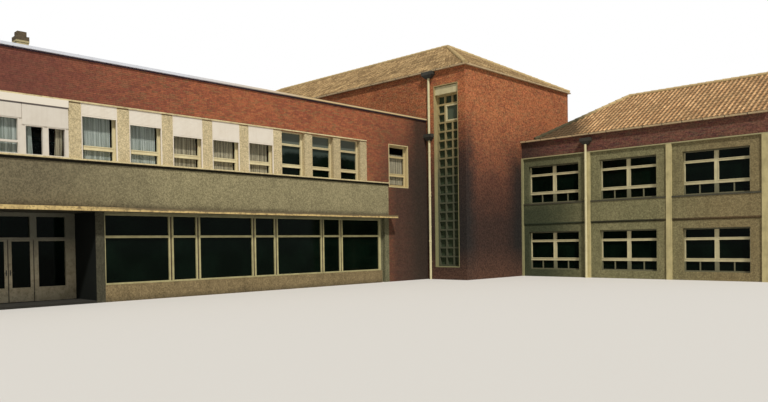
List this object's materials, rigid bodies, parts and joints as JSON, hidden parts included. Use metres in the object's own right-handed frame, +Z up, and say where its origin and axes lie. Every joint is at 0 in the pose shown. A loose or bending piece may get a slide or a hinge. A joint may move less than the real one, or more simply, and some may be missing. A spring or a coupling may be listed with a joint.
{
  "type": "school building",
  "caption": "Brick school building in three wings: a flat-roofed entrance wing, a taller hip-roofed block with a stair grille and a side wing; the entrance doors open.",
  "frame": {"origin": "middle of the plan's bounding box, at ground level", "axes": "+Z up; +Y along the entrance wing towards the tall block; +X the way the entrance front faces"},
  "size_m": [37.47, 37.62, 13.16],
  "materials": {
    "red_brick": "rough",
    "pebbledash": "rough",
    "dark_pebbledash": "rough",
    "pilaster_render": "rough",
    "concrete": "rough",
    "painted_concrete": "matt",
    "zinc": "dull",
    "painted_zinc": "dull",
    "pipe_paint": "satin",
    "cream_joinery": "painted, satin",
    "white_panel": "satin",
    "net_curtain": "sheer weave",
    "window_glass": "clear",
    "roof_tile": "matt",
    "door_metal": "worn"
  },
  "bodies": {
    "building": {"left_front_brick": "red_brick", "left_end_wall": "red_brick", "left_rear_wall": "red_brick", "block_south_wall": "red_brick", "block_north_wall": "red_brick", "block_end_walls": "red_brick", "right_brick_band": "red_brick", "right_rear_wall": "red_brick", "right_return_wall": "red_brick", "right_gable_wall": "red_brick", "left_render_band": "pebbledash", "left_plinth": "pebbledash", "porch_walls": "pebbledash", "right_infill": "dark_pebbledash", "left_pilasters": "pilaster_render", "right_pilasters": "pilaster_render", "left_end_pier": "pilaster_render", "ground_slabs": "concrete", "upper_floors": "concrete", "flat_roof": "concrete", "stair_grille": "concrete", "chimney": "concrete", "canopy_slab": "painted_concrete", "string_courses": "painted_concrete", "left_coping": "zinc", "eaves_gutters": "zinc", "rain_hoppers": "painted_zinc", "rain_pipes": "pipe_paint", "left_glazing_frame": "cream_joinery", "left_upper_frames": "cream_joinery", "right_frames": "cream_joinery", "rear_frames": "cream_joinery", "stair_joinery": "cream_joinery", "entrance_frame": "cream_joinery", "entrance_top_lights": "cream_joinery", "entrance_bay": "white_panel", "roller_shutters": "white_panel", "curtains": "net_curtain", "front_glass": "window_glass", "rear_glass": "window_glass", "block_roof": "roof_tile", "right_roof": "roof_tile"},
    "leaf_far_south": {"door_leaf_far_south": "cream_joinery", "door_glass_far_south": "window_glass", "door_handle_far_south": "door_metal"},
    "leaf_mid_south": {"door_leaf_mid_south": "cream_joinery", "door_glass_mid_south": "window_glass", "door_handle_mid_south": "door_metal"},
    "leaf_mid_north": {"door_leaf_mid_north": "cream_joinery", "door_glass_mid_north": "window_glass", "door_handle_mid_north": "door_metal"},
    "leaf_far_north": {"door_leaf_far_north": "cream_joinery", "door_glass_far_north": "window_glass", "door_handle_far_north": "door_metal"}
  },
  "joints": [
    {"name": "hinge_far_south", "type": "hinge", "parent": "building", "child": "leaf_far_south", "pos_m": [2.699, -16.0375, 0], "axis": [0, 0, -1], "range_deg": [0, 90]},
    {"name": "hinge_mid_south", "type": "hinge", "parent": "building", "child": "leaf_mid_south", "pos_m": [2.699, -14.4525, 0], "axis": [0, 0, 1], "range_deg": [0, 90]},
    {"name": "hinge_mid_north", "type": "hinge", "parent": "building", "child": "leaf_mid_north", "pos_m": [2.699, -14.3075, 0], "axis": [0, 0, -1], "range_deg": [0, 90]},
    {"name": "hinge_far_north", "type": "hinge", "parent": "building", "child": "leaf_far_north", "pos_m": [2.699, -12.7225, 0], "axis": [0, 0, 1], "range_deg": [0, 90]}
  ]
}
